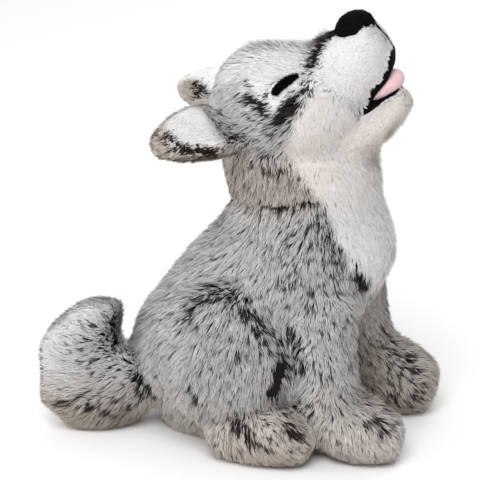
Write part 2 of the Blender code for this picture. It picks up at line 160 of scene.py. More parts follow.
def point_normals(points, faces):
    """Normal at every point, from the faces round it."""
    a, b, c = points[faces[:, 0]], points[faces[:, 1]], points[faces[:, 2]]
    across = np.cross(b - a, c - a)
    if faces.shape[1] == 4:
        d = points[faces[:, 3]]
        across = np.cross(c - a, d - b)
    out = np.zeros_like(points)
    for corner in range(faces.shape[1]):
        for axis in range(3):
            out[:, axis] += np.bincount(faces[:, corner], across[:, axis], len(points))
    return unit(out)


def new_mesh(name, points, faces):
    """Mesh from an array of points and one of equal-sided faces."""
    mesh = bpy.data.meshes.new(name)
    sides = faces.shape[1]
    mesh.vertices.add(len(points))
    mesh.vertices.foreach_set("co", np.asarray(points, dtype=np.float32).ravel())
    mesh.loops.add(faces.size)
    mesh.loops.foreach_set("vertex_index", faces.ravel().astype(np.int32))
    mesh.polygons.add(len(faces))
    mesh.polygons.foreach_set("loop_start", np.arange(0, faces.size, sides, dtype=np.int32))
    mesh.update(calc_edges=True)
    return mesh


def new_object(name, data):
    """Object with its mesh or other data, in the scene."""
    thing = bpy.data.objects.new(name, data)
    bpy.context.scene.collection.objects.link(thing)
    return thing


def arrays_of(mesh):
    """Points and faces of a mesh whose faces all have as many sides."""
    corners = read(mesh.loops, "vertex_index", 1, np.int64)
    return read(mesh.vertices, "co", 3), corners.reshape(len(mesh.polygons), -1)


def remeshed(points, faces, voxel):
    """Points and four-sided faces of an even skin round a closed mesh."""
    thing = new_object("remesh_work", new_mesh("remesh_work", points, faces))
    change = thing.modifiers.new("skin", "REMESH")
    change.mode = "VOXEL"
    change.voxel_size = voxel
    graph = bpy.context.evaluated_depsgraph_get()
    made = thing.evaluated_get(graph).to_mesh()
    points, faces = arrays_of(made)
    if faces.shape[1] != 4:
        raise ValueError("the skin has faces that are not four-sided")
    thing.evaluated_get(graph).to_mesh_clear()
    old = thing.data
    bpy.data.objects.remove(thing)
    bpy.data.meshes.remove(old)
    return points, faces


def skin_of(name, voxel, rounds):
    """Points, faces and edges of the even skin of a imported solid."""
    points, faces = remeshed(*node_arrays(name), voxel)
    edges = edges_of(faces)
    return relaxed(points, edges, rounds), faces, edges


def smooth_object(name, points, faces, material):
    """Object with soft shading and one material."""
    mesh = new_mesh(name, points, faces)
    mesh.polygons.foreach_set("use_smooth", np.ones(len(faces), dtype=bool))
    mesh.materials.append(material)
    return new_object(name, mesh)


def edges_of(faces):
    """Every edge of the faces, once."""
    sides = faces.shape[1]
    pairs = np.concatenate([faces[:, [i, (i + 1) % sides]] for i in range(sides)])
    return np.unique(np.sort(pairs, axis=1), axis=0)


def relaxed(field, edges, rounds, share=0.5):
    """A field over the points, evened out along the edges."""
    field = np.array(field, dtype=float)
    flat = field.reshape(len(field), -1)
    count = np.bincount(edges.ravel(), minlength=len(field))[:, None]
    for _ in range(rounds):
        near = np.empty_like(flat)
        for k in range(flat.shape[1]):
            near[:, k] = (np.bincount(edges[:, 0], flat[edges[:, 1], k], len(field))
                          + np.bincount(edges[:, 1], flat[edges[:, 0], k], len(field)))
        flat = flat * (1 - share) + near / np.maximum(count, 1) * share
    return flat.reshape(field.shape)


def biggest_part(points, faces):
    """The largest connected part of a mesh."""
    edges = edges_of(faces)
    mark = np.arange(len(points))
    while True:
        low = np.minimum(mark[edges[:, 0]], mark[edges[:, 1]])
        new = mark.copy()
        np.minimum.at(new, edges[:, 0], low)
        np.minimum.at(new, edges[:, 1], low)
        new = new[new]
        if (new == mark).all():
            break
        mark = new
    keep = mark == np.bincount(mark).argmax()
    number = np.cumsum(keep) - 1
    faces = faces[keep[faces].all(axis=1)]
    return points[keep], number[faces]


# What each cover is like

# Pile: fibre length, depth of the cover under the outside, how far the tips stand out,
# fibres per area against the long pile, fibre width, pull of a lock's fibres to its middle
LONG = (0.0102, 0.0046, 0.0013, 1.0, 0.00058, 0.44)
LEG = (0.0088, 0.004, 0.0011, 1.1, 0.00056, 0.44)
HEAD = (0.0094, 0.0036, 0.0011, 1.25, 0.00052, 0.42)
BIB = (0.012, 0.004, 0.0008, 1.0, 0.00066, 0.16)
CHEEK = (0.0098, 0.0036, 0.0006, 1.5, 0.00056, 0.06)
SHORT = (0.0034, 0.0007, 0.0002, 2.6, 0.00056, 0.0)
PATCH = (0.0058, 0.0011, 0.0009, 1.9, 0.00054, 0.18)
EAR = (0.008, 0.0022, 0.0012, 1.5, 0.00054, 0.42)
BRIDGE = (0.0058, 0.001, 0.002, 2.2, 0.00046, 0.3)
# Covers, their pile, tone (0 dark, 0.5 frosted, 1 white), warmth, and size of the skin's faces
COVER_ROWS = [
    ("torso", LONG, 0.5, 0.1, 0.0036),
    ("neck", LONG, 0.4, 0.75, 0.003),
    # Painted shade: the tones under 1 and the warmth of the white bib, cheek ruff, muzzle and jaw
    # dim them as shading, the jaw most
    ("chest_bib", BIB, 0.97, 0.18, 0.0028),
    ("cheek_ruff", CHEEK, 0.96, 0.36, 0.003),
    ("skull", HEAD, 0.52, 0.05, 0.003),
    ("nose_bridge", BRIDGE, 0.12, 0.6, 0.0009),
    ("muzzle", SHORT, 0.9, 0.04, 0.0022),
    ("lower_jaw", SHORT, 0.84, 0.52, 0.0022),
    ("eye_patch_right eye_patch_left", PATCH, 0.95, 0.0, 0.0015),
    ("ear_right ear_left", EAR, 0.42, 0.7, 0.0018),
    ("ear_lining_right ear_lining_left", SHORT, 1.0, 0.0, 0.0013),
    ("front_leg_right", LEG, 0.53, 0.2, 0.003),
    # Painted shade: the far front leg is darker and warmer than the near one
    ("front_leg_left", LEG, 0.45, 0.45, 0.003),
    ("haunch_right haunch_left", LONG, 0.46, 0.18, 0.003),
    ("hind_foot_right hind_foot_left", LEG, 0.55, 0.55, 0.0028),
    ("tail", LONG, 0.57, 0.28, 0.003),
]
FIELDS = ("length", "inset", "proud", "dense", "width", "pull", "tone", "warm")
COVERS = {}
for names, pile, tone, warm, voxel in COVER_ROWS:
    for name in names.split():
        COVERS[name] = dict(zip(FIELDS, (*pile, tone, warm)), voxel=voxel)
FIBRES = 258000
MOST_FIBRES = 62000
# Hide: how far the solids grow for it, size of its faces, rounds that even it out
GROW = 0.0003
HIDE_VOXEL = 0.0022
HIDE_ROUNDS = 2
NORMAL_ROUNDS = 6
SPREAD_ROUNDS = {"tone": 2, "warm": 22, "dense": 0, "width": 1}
SPREAD_USUAL = 3
# Lowest that a fibre and a cover come to the floor
FLOOR_LIFT = 0.0004
COVER_LIFT = FLOOR_LIFT * 3
# Covers: rounds that even them out, tone above which their ground is pale
COVER_ROUNDS = 2
PALE_COVER = 0.8
# Pile beside these is shorter and combed away, and no middle or end of a fibre, or the point
# between, comes nearer than CLEAR_GAP
CLEAR_OF = ("nose", "philtrum", "eye_right", "eye_left")
CLEAR_REACH = 0.0028
CLEAR_SHARE = 0.45
CLEAR_PUSH = 2.0
CLEAR_GAP = 0.0003
# The neck's pile stops at its seam with the torso, and both are lower there
PARTING_WIDTH = 0.0045
SEAM_SHORTER = 0.45
SEAM_SINK = 0.0012
ROOM_USED = 0.8
ROOM_OVER = 0.001
# Short pile beside the lips points at them: over their edge on the muzzle, short of it on the jaw
LIP_REACH = 0.0034
LIP_OVER = {"muzzle": 0.0017, "lower_jaw": -0.0006}
LIP_PULL = 3.0
LIP_LOCKS = 0.62
# Covers whose pile flows over the hollows between them, and the most that it fills
FLOWING = ("cheek_ruff", "chest_bib", "lower_jaw")
FLOW_ROUNDS = 50
FLOW_EDGE = 4
FLOW_MOST = 0.005
# It fills nothing nearer to the lips than the first, and all from the second on
MOUTH_NEAR = 0.002
MOUTH_FAR = 0.007
# Hollows that the pile closes: place and radius
CLOSED = [
    ((-0.07, -0.04, 0.016), 0.02), ((-0.036, -0.062, 0.016), 0.016),
    ((-0.036, 0.062, 0.016), 0.016),
]
# Pile of the neck lies lower where the head hangs over it
OVERHANG_REACH = 0.01
OVERHANG_SINK = 0.0026

# Way that the nap lies: "from" a point, "to" a direction, or like a "leg", for each cover
NAP = {
    "torso": ("to", (-0.28, 0.0, -1.0)),
    "neck": ("to", (0.04, 0.0, -1.0)),
    "chest_bib": ("to", (0.1, 0.0, -1.0)),
    "cheek_ruff": ("to", (0.02, 0.0, -1.0)),
    "skull": ("from", (0.085, 0.0, 0.262)),
    "nose_bridge": ("from", (0.095, 0.0, 0.3)),
    "muzzle": ("from", (0.11, 0.0, 0.29)),
    "lower_jaw": ("from", (0.115, 0.0, 0.275)),
    "eye_patch": ("from", (0.08, 0.0, 0.262)),
    "ear": ("from", (0.015, 0.0, 0.215)),
    "ear_lining": ("from", (0.02, 0.0, 0.222)),
    "front_leg": ("leg", (0.07, 0.038, 0.052)),
    "haunch": ("from", (0.022, 0.04, 0.15)),
    "hind_foot": ("from", (0.008, 0.05, 0.05)),
    "tail": ("from", (-0.05, -0.008, 0.044)),
}
NAP_ROUNDS = 6
# The torso's nap leans back, less so towards the front and more behind
TORSO_LEAN = 0.28
TORSO_LEAN_AT = 0.08
TORSO_LEAN_BACK = -0.3
# A leg's nap lies down it above this height, over this much
LEG_HIGH = 0.035
LEG_CHANGE = 0.03
LEG_DOWN = (0.06, 0.0, -1.0)
# Wandering of the nap: scale in the noise, and how far it turns
WANDER_WIDE = 55.0
WANDER_MOST = 0.55
WANDER_FINE = 150.0
WANDER_LESS = 0.4


def plain(name):
    """Name of a cover without its side."""
    return name.replace("_right", "").replace("_left", "")


def nap_at(name, points):
    """Way that the nap lies at points of a cover, before it is laid on the surface."""
    kind, value = NAP[plain(name)]
    side = -1.0 if name.endswith("_right") else 1.0
    if kind == "to":
        way = np.tile(np.array(value), (len(points), 1))
        if name == "torso":
            way[:, 0] += np.clip(points[:, 0] / TORSO_LEAN_AT, TORSO_LEAN_BACK, 1.0) * TORSO_LEAN
        return way
    start = np.array(value)
    start[1] *= side if plain(name) in ("front_leg", "haunch", "hind_foot") else 1.0
    away = unit(points - start)
    if kind == "leg":
        high = held((points[:, 2] - LEG_HIGH) / LEG_CHANGE)[:, None]
        return away * (1 - high) + np.array(LEG_DOWN) * high
    return away


# The outside of the whole animal
def gathered():
    """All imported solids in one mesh, grown so that seams close, and each triangle's solid."""
    points, faces, owners = [], [], []
    names = sorted(NODES)
    base = 0
    for index, name in enumerate(names):
        p, f = node_arrays(name)
        points.append(p + point_normals(p, f) * GROW)
        faces.append(f + base)
        owners.append(np.full(len(f), index))
        base += len(p)
    return names, np.concatenate(points), np.concatenate(faces), np.concatenate(owners)


NAMES, ALL_POINTS, ALL_FACES, ALL_OWNERS = gathered()


def nearness(away, radius):
    """1 up to half a radius away, falling to 0 at one and a half of it."""
    return held(1.5 - away / radius)


def tree_of(points, faces):
    """Search tree over a mesh."""
    return BVHTree.FromPolygons([tuple(p) for p in points.tolist()],
                                [tuple(f) for f in faces.tolist()])


def solid_tree(names):
    """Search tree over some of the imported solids."""
    numbers = [NAMES.index(n) for n in names]
    return tree_of(ALL_POINTS, ALL_FACES[np.isin(ALL_OWNERS, numbers)])


class Hide:
    """Outside of the whole animal, with what the pile is like at each of its points."""

    def __init__(self):
        points, faces = remeshed(ALL_POINTS, ALL_FACES, HIDE_VOXEL)
        self.points, self.faces = biggest_part(points, faces)
        self.edges = edges_of(self.faces)
        self.points = relaxed(self.points, self.edges, HIDE_ROUNDS)
        self.normals = point_normals(self.points, self.faces)
        solids = tree_of(ALL_POINTS, ALL_FACES)
        self.owner = np.array([ALL_OWNERS[solids.find_nearest(Vector(p))[2]]
                               for p in self.points.tolist()])
        self.flow()
        self.normals = point_normals(self.points, self.faces)
        self.soft_normals = unit(relaxed(self.normals, self.edges, NORMAL_ROUNDS))
        self.tree = tree_of(self.points, self.faces)
        for key in FIELDS:
            self.spread(key)
        self.sink = np.zeros(len(self.points))
        self.combed = np.zeros_like(self.points)
        self.clear_features()
        self.reach_lips()
        self.part_at_seam()
        self.lay_nap()

    def flow(self):
        """Fill the hollows between covers whose long pile flows from one to the next."""
        numbers = [NAMES.index(n) for n in FLOWING]
        share = relaxed(np.isin(self.owner, numbers).astype(float), self.edges, FLOW_EDGE)
        for place, radius in CLOSED:
            away = np.linalg.norm(self.points - place, axis=1)
            share = np.maximum(share, nearness(away, radius))
        _, away = self.nearby(("mouth_lining",), MOUTH_FAR)
        share *= held((away - MOUTH_NEAR) / (MOUTH_FAR - MOUTH_NEAR))
        soft = relaxed(self.points, self.edges, FLOW_ROUNDS)
        out = ((soft - self.points) * self.normals).sum(axis=1)
        self.points += self.normals * (np.clip(out, 0.0, FLOW_MOST) * share)[:, None]

    def nearby(self, names, reach):
        """Nearest place of some solids to each point, as an offset, and its distance."""
        tree = solid_tree(names)
        offset = np.zeros_like(self.points)
        away = np.full(len(self.points), reach)
        for i, p in enumerate(self.points.tolist()):
            spot, _, _, distance = tree.find_nearest(p, reach)
            if spot is not None:
                offset[i] = np.array(spot) - p
                away[i] = distance
        return offset, away

    def clear_features(self):
        """Shorten the pile beside the nose, eyes and the line under the nose, and comb it away."""
        offset, away = self.nearby(CLEAR_OF, CLEAR_REACH)
        gap = away / CLEAR_REACH
        self.length *= CLEAR_SHARE + (1 - CLEAR_SHARE) * gap
        self.proud *= gap
        self.combed -= offset / CLEAR_REACH * ((1 - gap) * CLEAR_PUSH)[:, None]

    def reach_lips(self):
        """Point the short pile beside the lips at them, in small locks of the right length."""
        offset, away = self.nearby(("mouth_lining",), LIP_REACH)
        for name, over in LIP_OVER.items():
            near = (self.owner == NAMES.index(name)) & (away < LIP_REACH)
            inset = COVERS[name]["inset"]
            self.length[near] = np.clip(self.length[near], inset, away[near] + over + inset)
            self.combed[near] += unit(offset[near]) * LIP_PULL
            self.pull[near] = LIP_LOCKS

    def part_at_seam(self):
        """Stop the neck's pile at its seam, and lower the pile there and under the head."""
        for name, other in (("neck", "torso"), ("torso", "neck")):
            here = np.flatnonzero(self.owner == NAMES.index(name))
            room = self.room(here, other)
            if name == "neck":
                self.length[here] = np.minimum(self.length[here], room * ROOM_USED + ROOM_OVER)
            near = held(1 - room / PARTING_WIDTH)
            self.proud[here] *= 1 - near
            self.length[here] *= 1 - SEAM_SHORTER * near
            self.sink[here] = np.maximum(self.sink[here], SEAM_SINK * near)
        here = np.flatnonzero(self.owner == NAMES.index("neck"))
        near = held(1 - self.room(here, "skull") / OVERHANG_REACH)
        self.sink[here] = np.maximum(self.sink[here], OVERHANG_SINK * near)

    def room(self, here, other):
        """Distance from some points of the hide to another cover's part of it."""
        spots = self.points[self.owner == NAMES.index(other)]
        tree = KDTree(len(spots))
        for i, p in enumerate(spots.tolist()):
            tree.insert(p, i)
        tree.balance()
        return np.array([tree.find(p)[2] for p in self.points[here].tolist()])

    def spread(self, key):
        """One value of the covers, over all points and softened where two covers meet."""
        table = np.array([COVERS[n][key] if n in COVERS else 0.0 for n in NAMES])
        value = table[self.owner]
        value = relaxed(value, self.edges, SPREAD_ROUNDS.get(key, SPREAD_USUAL))
        setattr(self, key, value)

    def lay_nap(self):
        """Way of the nap at each point, along the surface, wandering a little."""
        way = np.zeros_like(self.points)
        for index, name in enumerate(NAMES):
            here = self.owner == index
            if name in COVERS and here.any():
                way[here] = unit(nap_at(name, self.points[here]))
        way = relaxed(way, self.edges, NAP_ROUNDS) + self.combed
        way = self.flat(way, self.soft_normals)
        turn = np.array([noise.noise(Vector(p) * WANDER_WIDE) * WANDER_MOST
                         + noise.noise(Vector(p) * WANDER_FINE) * WANDER_LESS
                         for p in self.points.tolist()])
        cross = np.cross(self.soft_normals, way)
        self.nap = way * np.cos(turn)[:, None] + cross * np.sin(turn)[:, None]

    @staticmethod
    def flat(way, normals):
        """Vectors laid along the surface."""
        return unit(way - normals * (way * normals).sum(axis=1, keepdims=True))


hide = Hide()


def on_hide(px, py):
    """Point of the hide that shows at a point of the photograph, or None beside it."""
    start, aim = sight(px, py)
    return hide.tree.ray_cast(start, aim)[0]


# Darker and lighter places

# Dark locks are partly dark fur and partly painted shade between parted locks.
# Name, points in the photograph's frame, radius in metres, share of dark locks
MARKS = [
    ("under_eye", [(297, 99), (290, 109), (282, 121)], 0.0058, 1.0),
    ("under_eye_top", [(309, 86), (303, 92)], 0.004, 0.75),
    ("under_eye_low", [(281, 124), (276, 134)], 0.0038, 0.5),
    ("temple_top", [(247, 78), (251, 88), (254, 95)], 0.0026, 0.8),
    ("temple", [(254, 96), (260, 103), (268, 111)], 0.005, 1.0),
    ("below_temple", [(264, 112), (272, 122), (274, 131)], 0.004, 0.75),
    ("head_side", [(234, 112), (250, 126), (240, 142), (262, 146)], 0.012, 0.3),
    ("stop", [(334, 32), (329, 37), (323, 44), (317, 54), (312, 64)], 0.0044, 1.0),
    ("brow_corner", [(310, 70), (306, 77)], 0.0028, 0.45),
    # Painted shadow: dark locks on the neck where the head hangs over it
    ("under_head", [(238, 160), (252, 158), (268, 161), (284, 163), (296, 168)], 0.003, 0.4),
    ("neck_top", [(258, 163), (270, 165), (282, 167)], 0.0027, 0.9),
    ("neck_edge", [(291, 168), (299, 181), (307, 193)], 0.0024, 0.55),
    ("collar_seam", [(259, 203), (274, 206), (290, 205), (306, 202), (319, 198)], 0.0016, 1.0),
    ("bib_edge", [(322, 206), (330, 225), (340, 248), (350, 268)], 0.0028, 0.65),
    ("chest_tuft", [(360, 270), (366, 276), (364, 283)], 0.0062, 1.0),
    ("shoulder", [(290, 236), (308, 230), (330, 262), (345, 275), (300, 262)], 0.013, 0.34),
    ("shoulder_streaks", [(322, 226), (332, 244), (340, 262)], 0.005, 0.55),
    ("haunch_arc", [(188, 312), (200, 296), (220, 288), (238, 298), (254, 318), (276, 346)],
     0.0066, 0.72),
    # Painted shade: a dark strip on the torso beside the haunch's front edge
    ("haunch_front", [(250, 304), (264, 318), (278, 332), (284, 350), (285, 366)], 0.0034, 0.75),
    ("haunch_dots", [(214, 330), (230, 345), (216, 360), (250, 352)], 0.01, 0.24),
    # Painted shade: dark locks filling the hollow between haunch and front leg
    ("hollow", [(284, 360), (282, 378), (276, 391)], 0.007, 1.0),
    ("leg_edge", [(294, 334), (298, 350), (300, 364)], 0.0046, 0.9),
    ("leg_specks", [(316, 300), (330, 330), (320, 360), (336, 396)], 0.012, 0.2),
    ("paw_crease", [(340, 404), (330, 412)], 0.005, 0.3),
    ("toes", [(366, 417), (378, 426), (386, 424)], 0.0048, 0.85),
    ("foot_top", [(300, 398), (312, 410)], 0.005, 0.45),
    ("hind_toes", [(234, 414), (243, 428), (250, 438)], 0.0056, 0.9),
    ("hind_paw_end", [(286, 422), (295, 432), (302, 444)], 0.0056, 0.85),
    ("haunch_low", [(194, 392), (202, 402)], 0.005, 0.6),
    ("tail_seam", [(143, 376), (151, 392), (158, 410)], 0.0058, 0.8),
    # Painted shade along the tail's underside
    ("tail_under", [(66, 402), (96, 406), (130, 406), (152, 410)], 0.006, 0.6),
    ("tail_tip", [(112, 318), (116, 330), (119, 345)], 0.0028, 0.8),
    ("tail_rows", [(84, 330), (96, 346), (90, 366), (108, 376)], 0.012, 0.14),
    ("cheek_spot", [(268, 148), (250, 146)], 0.003, 0.45),
    ("ear_rim", [(168, 133), (179, 144), (192, 149), (206, 152), (221, 152)], 0.0036, 1.0),
    ("far_ear_rim", [(196, 83), (204, 89), (207, 95), (199, 93)], 0.0044, 1.0),
    # Painted shade on the far leg's shaded inner side
    ("far_leg", [(384, 336), (396, 354), (410, 372), (422, 390)], 0.009, 0.6),
    ("far_leg_low", [(392, 394), (402, 402)], 0.008, 0.75),
]
# The same, for colour: radius, tone and warmth that the pile is pulled to, how far
TINTS = [
    ("crown", [(236, 66), (258, 56), (282, 54), (304, 56)], 0.0095, 0.98, 0.0, 0.95),
    ("forehead", [(300, 62), (310, 56)], 0.007, 0.94, 0.0, 0.9),
    ("head_grey", [(228, 100), (238, 116), (250, 132), (262, 142)], 0.01, 0.5, 0.05, 0.8),
    # Painted shade: darker, warmer inner side of the far leg
    ("inner_leg", [(366, 345), (368, 370), (372, 395)], 0.013, 0.36, 0.8, 0.8),
    ("back_soft", [(150, 330), (170, 300), (190, 260), (215, 230)], 0.015, 0.51, 0.0, 0.8),
    ("paw", [(330, 408), (350, 418), (368, 430)], 0.015, 0.6, 0.4, 0.8),
    ("tail_back", [(56, 356), (62, 336), (80, 316), (100, 310)], 0.018, 0.8, 0.1, 0.9),
    ("tail_middle", [(80, 370), (96, 350), (120, 366)], 0.016, 0.76, 0.1, 0.9),
    # Painted shade and floor bounce: darker, warmer underside of the tail
    ("tail_low", [(56, 404), (80, 418), (120, 420), (150, 413)], 0.007, 0.44, 1.0, 0.9),
    ("ear_fringe", [(158, 130), (166, 120), (178, 112), (196, 106)], 0.0066, 0.98, 0.2, 1.0),
    ("ear_root", [(208, 109), (218, 122), (226, 138)], 0.006, 0.62, 0.1, 0.8),
    ("ear_end", [(158, 130), (160, 144), (172, 154), (190, 160), (208, 161), (222, 160)],
     0.0058, 0.45, 1.0, 1.0),
    ("far_ear_lining", [(202, 70), (209, 72), (212, 80)], 0.0066, 0.92, 0.0, 1.0),
    ("far_ear_end", [(183, 66), (186, 74), (187, 84), (191, 96)], 0.008, 0.4, 0.9, 1.0),
    ("ruff", [(300, 152), (312, 160), (326, 160)], 0.009, 0.96, 0.5, 0.8),
]
# Places with hardly any dark locks: radius and how far
CALM = [
    ("back", [(150, 330), (162, 298), (184, 262), (208, 236), (244, 226), (236, 256), (206, 276)],
     0.025, 0.95),
    ("tail_edge", [(50, 366), (60, 336), (82, 312)], 0.012, 0.9),
    ("tail_side", [(80, 340), (100, 340), (112, 352), (122, 374)], 0.015, 0.8),
    ("ear_root_calm", [(208, 109), (218, 122), (226, 138)], 0.006, 0.9),
    ("under_collar", [(236, 214), (262, 222), (296, 220)], 0.01, 0.8),
    ("haunch_side", [(170, 350), (180, 380)], 0.015, 0.6),
]
# Tufts that stand out: radius and how far
TUFTS = [
    ("behind_nose", [(332, 33), (328, 37)], 0.004, 0.0036),
    ("chest", [(366, 272), (368, 280)], 0.005, 0.002),
    ("chin", [(405, 110), (400, 120), (392, 132), (383, 145)], 0.0055, 0.0024),
    ("crown", [(240, 58), (262, 48), (284, 44), (300, 44)], 0.006, 0.0014),
    ("jowl", [(378, 150), (380, 166)], 0.006, 0.002),
    ("tail_tip", [(122, 312), (126, 318)], 0.005, 0.002),
]
# How far the pile sinks at a mark, in metres
SUNK = {"bib_edge": 0.0008, "haunch_arc": 0.0008, "haunch_front": 0.0026, "hollow": 0.0044}
# Rows so named are on one side only, and all others are mirrored on the far side
ONE_SIDED = ("tail_", "ear_", "far_", "inner_")
# Dark locks away from the marks, dark fur and painted shade where the pile parts: least, more in
# patches, and where in the noise these lie
DARK_LEAST = 0.015
DARK_PATCH = 0.13
PATCH_FROM = 0.38
PATCH_OVER = 0.35
PATCH_OFTEN = 40.0
# From this tone on there are fewer, and soon none
PALE_TONE = 0.58
PALE_OVER = 0.12
# Tone that a mark's other fibres are darkened towards, and how far
MARK_TONE = 0.38
MARK_DARKER = 0.8
# Painted light: warmth of light bounced from the floor, added up to this height, and on what faces
# down
FLOOR_BOUNCE_HEIGHT = 0.05
LOW_FLOOR_BOUNCE = 0.45
UNDER_FLOOR_BOUNCE = 0.35


def distance_to(points, path):
    """Shortest distance from each point to a path."""
    best = np.full(len(points), 1e9)
    path = np.array(path)
    spans = [(path[0], path[0])] if len(path) == 1 else list(zip(path[:-1], path[1:]))
    for a, b in spans:
        along = b - a
        size = max((along ** 2).sum(), TINY)
        t = held(((points - a) @ along) / size)[:, None]
        best = np.minimum(best, np.linalg.norm(points - (a + t * along), axis=1))
    return best


def mask(name, pixels, radius):
    """How strongly a mark works at each point of the hide, from 0 to 1."""
    path = [on_hide(*p) for p in pixels]
    path = [tuple(p) for p in path if p is not None]
    if not path:
        return np.zeros(len(hide.points))
    away = distance_to(hide.points, path)
    if not name.startswith(ONE_SIDED):
        other = [(x, -y, z) for x, y, z in path]
        away = np.minimum(away, distance_to(hide.points, other))
    return nearness(away, radius)


def paint():
    """Tone, warmth, share of dark locks, sunken places and tufts over the hide, painted shade and
    painted floor bounce among them.
    """
    for name, pixels, radius, tone, warm, share in TINTS:
        strength = mask(name, pixels, radius) * share
        hide.tone = hide.tone * (1 - strength) + tone * strength
        hide.warm = hide.warm * (1 - strength) + warm * strength
    patches = np.array([0.5 + 0.5 * noise.noise(Vector(p) * PATCH_OFTEN)
                        for p in hide.points.tolist()])
    hide.dark = DARK_LEAST + DARK_PATCH * held((patches - PATCH_FROM) / PATCH_OVER)
    hide.dark *= 1 - held((hide.tone - PALE_TONE) / PALE_OVER)
    for name, pixels, radius, share in CALM:
        hide.dark *= 1 - mask(name, pixels, radius) * share
    for name, pixels, radius, share in MARKS:
        strength = mask(name, pixels, radius)
        hide.dark = np.maximum(hide.dark, strength * share)
        hide.sink = np.maximum(hide.sink, strength * SUNK.get(name, 0.0))
        hide.tone -= np.maximum(hide.tone - MARK_TONE, 0.0) * strength * share * MARK_DARKER
    for name, pixels, radius, lift in TUFTS:
        strength = mask(name, pixels, radius)
        hide.proud += strength * lift
        hide.length += strength * lift
    # Painted floor bounce: warmer low down and on faces turned to the floor
    low = held((FLOOR_BOUNCE_HEIGHT - hide.points[:, 2]) / FLOOR_BOUNCE_HEIGHT)
    under = held(-hide.normals[:, 2])
    hide.warm = held(hide.warm + LOW_FLOOR_BOUNCE * low + UNDER_FLOOR_BOUNCE * under)


paint()


# Materials
GLOSS = 0.03
SHEEN_ROUGH = 0.5


def put(node, **values):
    """Set inputs of a shader node, a low line in a key standing for a space."""
    for key, value in values.items():
        node.inputs[key.replace("_", " ")].default_value = value


def fabric(name, roughness, sheen=0.0):
    """New material with its node tree, shader and the low gloss of cloth."""
    material = bpy.data.materials.new(name)
    material.use_nodes = True
    tree = material.node_tree
    shader = tree.nodes["Principled BSDF"]
    put(shader, Roughness=roughness, Specular_IOR_Level=GLOSS)
    put(shader, Sheen_Weight=sheen, Sheen_Roughness=SHEEN_ROUGH)
    return material, tree, shader


def ramp(tree, source, stops):
    """Colour ramp over a value."""
    node = tree.nodes.new("ShaderNodeValToRGB")
    bar = node.color_ramp
    while len(bar.elements) < len(stops):
        bar.elements.new(0.5)
    for element, (at, colour) in zip(bar.elements, stops):
        element.position = at
        element.color = (*colour, 1.0)
    tree.links.new(source, node.inputs["Fac"])
    return node.outputs["Color"]


def mixed(tree, share, a, b, blend="MIX"):
    """Colour between a and b, by a share."""
    node = tree.nodes.new("ShaderNodeMix")
    node.data_type = "RGBA"
    node.blend_type = blend
    for socket, value in (("Factor", share), ("A", a), ("B", b)):
        want = "VALUE" if socket == "Factor" else "RGBA"
        target = next(i for i in node.inputs if i.name == socket and i.type == want)
        if isinstance(value, bpy.types.NodeSocket):
            tree.links.new(value, target)
        else:
            target.default_value = value
    return next(o for o in node.outputs if o.type == "RGBA")


def span(tree, source, low, high):
    """A value laid from 0 to 1 between two limits."""
    node = tree.nodes.new("ShaderNodeMapRange")
    put(node, From_Min=low, From_Max=high)
    tree.links.new(source, node.inputs["Value"])
    return node.outputs["Result"]


def attribute(tree, name):
    """Value of a mesh attribute."""
    node = tree.nodes.new("ShaderNodeAttribute")
    node.attribute_name = name
    return node.outputs["Fac"]


# Colours along a fibre, root to tip, as light values
# DARK_FIBRE colours the dark locks: dark fur, and painted shade between parted locks.
DARK_FIBRE = [(0.0, (0.005, 0.004, 0.0035)), (0.35, (0.007, 0.0055, 0.005)),
              (0.75, (0.011, 0.009, 0.008)), (1.0, (0.026, 0.02, 0.018))]
FROST_FIBRE = [(0.0, (0.022, 0.017, 0.015)), (0.22, (0.11, 0.098, 0.092)),
               (0.5, (0.42, 0.412, 0.408)), (1.0, (0.61, 0.61, 0.61))]
WHITE_FIBRE = [(0.0, (0.66, 0.66, 0.66)), (0.3, (0.72, 0.72, 0.72)),
               (0.6, (0.755, 0.756, 0.76)), (1.0, (0.775, 0.777, 0.782))]
WARM_TINT = (1.0, 0.88, 0.77, 1.0)
WARM_STEPS = 6


def pile_material():
    """Two-tone pile: dark at the root and pale at the tip, by the tone of each fibre."""
    material, tree, shader = fabric("pile", 0.85)
    along = attribute(tree, "along")
    tone = attribute(tree, "tone")
    warm = attribute(tree, "warm")
    dark = ramp(tree, along, DARK_FIBRE)
    frost = ramp(tree, along, FROST_FIBRE)
    white = ramp(tree, along, WHITE_FIBRE)
    lower = mixed(tree, span(tree, tone, 0.0, 0.5), dark, frost)
    colour = mixed(tree, span(tree, tone, 0.5, 1.0), lower, white)
    tinted = mixed(tree, 1.0, colour, WARM_TINT, "MULTIPLY")
    tree.links.new(mixed(tree, warm, colour, tinted), shader.inputs["Base Color"])
    return material


def grained(tree, shader, texture, output, often, stops, strength, depth):
    """Give a cloth its colours and its bumps from one texture."""
    put(texture, Scale=often)
    place = tree.nodes.new("ShaderNodeTexCoord").outputs["Object"]
    tree.links.new(place, texture.inputs["Vector"])
    value = texture.outputs[output]
    tree.links.new(ramp(tree, value, stops), shader.inputs["Base Color"])
    bump = tree.nodes.new("ShaderNodeBump")
    put(bump, Strength=strength, Distance=depth)
    tree.links.new(value, bump.inputs["Height"])
    tree.links.new(bump.outputs["Normal"], shader.inputs["Normal"])


# Loops of the ground: scale, end of their colour ramp, strength and height of their bumps
LOOPS = 900.0
LOOP_END = 0.8
LOOP_BUMP = (0.6, 0.0004)


def backing_material(name, low, high):
    """Knitted ground under the pile."""
    material, tree, shader = fabric(name, 0.95)
    loops = tree.nodes.new("ShaderNodeTexVoronoi")
    stops = [(0.0, high), (LOOP_END, low)]
    grained(tree, shader, loops, "Distance", LOOPS, stops, *LOOP_BUMP)
    return material


